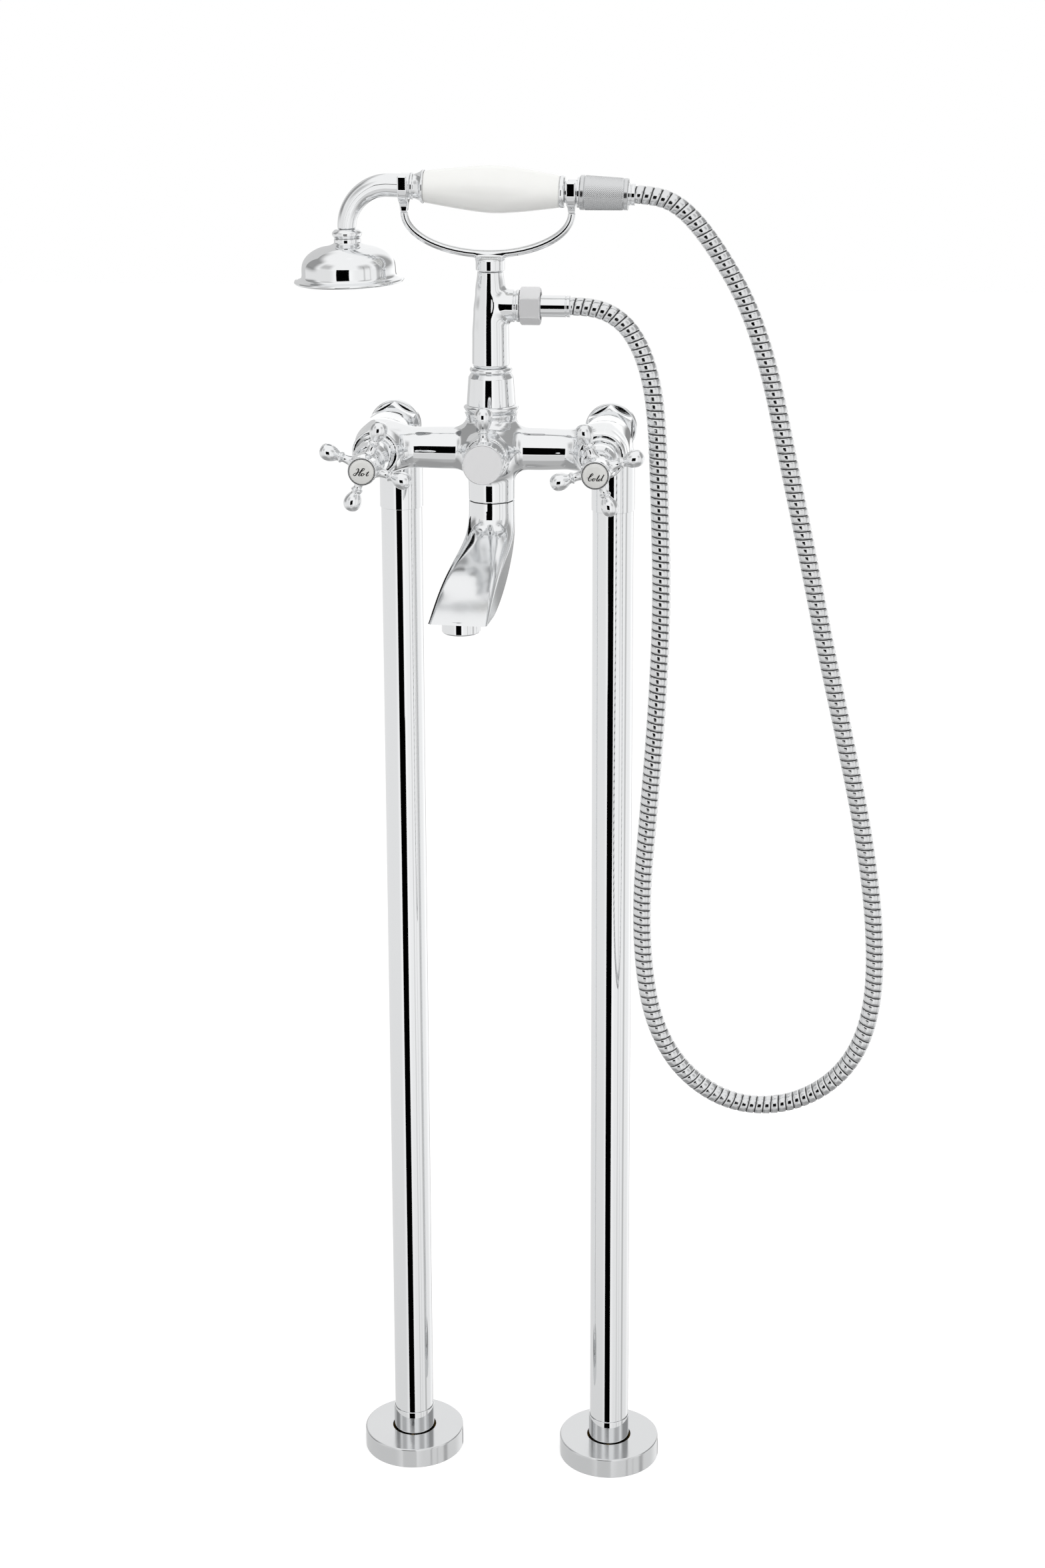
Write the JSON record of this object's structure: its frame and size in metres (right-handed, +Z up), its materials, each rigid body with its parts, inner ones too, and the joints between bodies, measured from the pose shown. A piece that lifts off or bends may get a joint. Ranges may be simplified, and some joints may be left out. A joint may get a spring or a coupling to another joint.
{
  "type": "floor standing bath filler",
  "caption": "Floor standing bath filler with cross handles, diverter, swivel spout, and a hand shower in a cradle.",
  "frame": {"origin": "on the floor, midway between the two standpipes, at the centre of the floor screws", "axes": "+Z up, +X to the right of somebody who faces the handles, -Y toward that person"},
  "size_m": [0.3996, 0.2537, 0.9922],
  "materials": {
    "chrome": "polished",
    "satin_chrome": "satin",
    "porcelain": "glazed",
    "rubber": "matte",
    "copper": "drawn",
    "raw_brass": "machined",
    "satin_steel": "satin",
    "steel": "polished"
  },
  "bodies": {
    "frame": {"column_base_ring": "chrome", "column_cone": "chrome", "column_stem": "chrome", "column_top_ring": "chrome", "hose_lower_ferrule": "chrome", "hose_outlet_nut": "satin_chrome", "hose_outlet_washer": "rubber", "left_base_cover": "chrome", "left_floor_plate": "raw_brass", "left_foot_sleeve": "chrome", "left_pipe_elbow": "chrome", "left_standpipe": "chrome", "left_supply_tube": "copper", "left_union_nut": "chrome", "left_union_washer": "rubber", "left_valve_cartridge": "raw_brass", "left_valve_shroud": "chrome", "mixer_body": "chrome", "right_base_cover": "chrome", "right_floor_plate": "raw_brass", "right_foot_sleeve": "chrome", "right_pipe_elbow": "chrome", "right_standpipe": "chrome", "right_supply_tube": "copper", "right_union_nut": "chrome", "right_union_washer": "rubber", "right_valve_cartridge": "raw_brass", "right_valve_shroud": "chrome", "shower_hose": "steel"},
    "hot_handle": {"hot_handle_cross": "chrome", "hot_spindle": "raw_brass", "hot_handle_screw": "steel", "hot_button_ring": "chrome", "hot_handle_button": "porcelain"},
    "cold_handle": {"cold_handle_cross": "chrome", "cold_spindle": "raw_brass", "cold_handle_screw": "steel", "cold_button_ring": "chrome", "cold_handle_button": "porcelain"},
    "diverter": {"diverter_cap": "chrome", "diverter_lever": "chrome"},
    "spout_arm": {"spout": "chrome", "aerator_housing": "chrome", "aerator_insert": "satin_steel"},
    "cradle": {"cradle_arc": "chrome", "cradle_left_fork": "chrome", "cradle_right_fork": "chrome", "cradle_set_screw": "steel"},
    "handset": {"handset_grip": "porcelain", "handset_front_ferrule": "chrome", "handset_end_ring": "chrome", "handset_inner_tube": "raw_brass", "handset_end_neck": "chrome", "handset_arm": "chrome", "hose_knurled_nut": "satin_chrome", "hose_upper_washer": "rubber", "hose_upper_ferrule": "chrome", "head_collar": "chrome", "shower_bell": "chrome", "spray_plate": "satin_steel"}
  },
  "joints": [
    {"name": "hot_handle_turn", "type": "hinge", "parent": "frame", "child": "hot_handle", "pos_m": [-0.075, -0.15, 0.804], "axis": [0, -1, 0], "range_deg": [0, 90]},
    {"name": "cold_handle_turn", "type": "hinge", "parent": "frame", "child": "cold_handle", "pos_m": [0.075, -0.15, 0.804], "axis": [0, -1, 0], "range_deg": [-90, 0]},
    {"name": "diverter_turn", "type": "hinge", "parent": "frame", "child": "diverter", "pos_m": [0, -0.14, 0.804], "axis": [0, -1, 0], "range_deg": [-90, 0]},
    {"name": "spout_swivel", "type": "hinge", "parent": "frame", "child": "spout_arm", "pos_m": [0, -0.098, 0.769], "axis": [0, 0, 1], "range_deg": [-75, 75]},
    {"name": "cradle_swivel", "type": "hinge", "parent": "frame", "child": "cradle", "pos_m": [0, -0.098, 0.925], "axis": [0, 0, 1], "range_deg": [-45, 45], "deforming": ["shower_hose"]},
    {"name": "handset_lift", "type": "slide", "parent": "cradle", "child": "handset", "axis": [0, 0, 1], "range_m": [0, 0.034], "deforming": ["shower_hose"]}
  ]
}
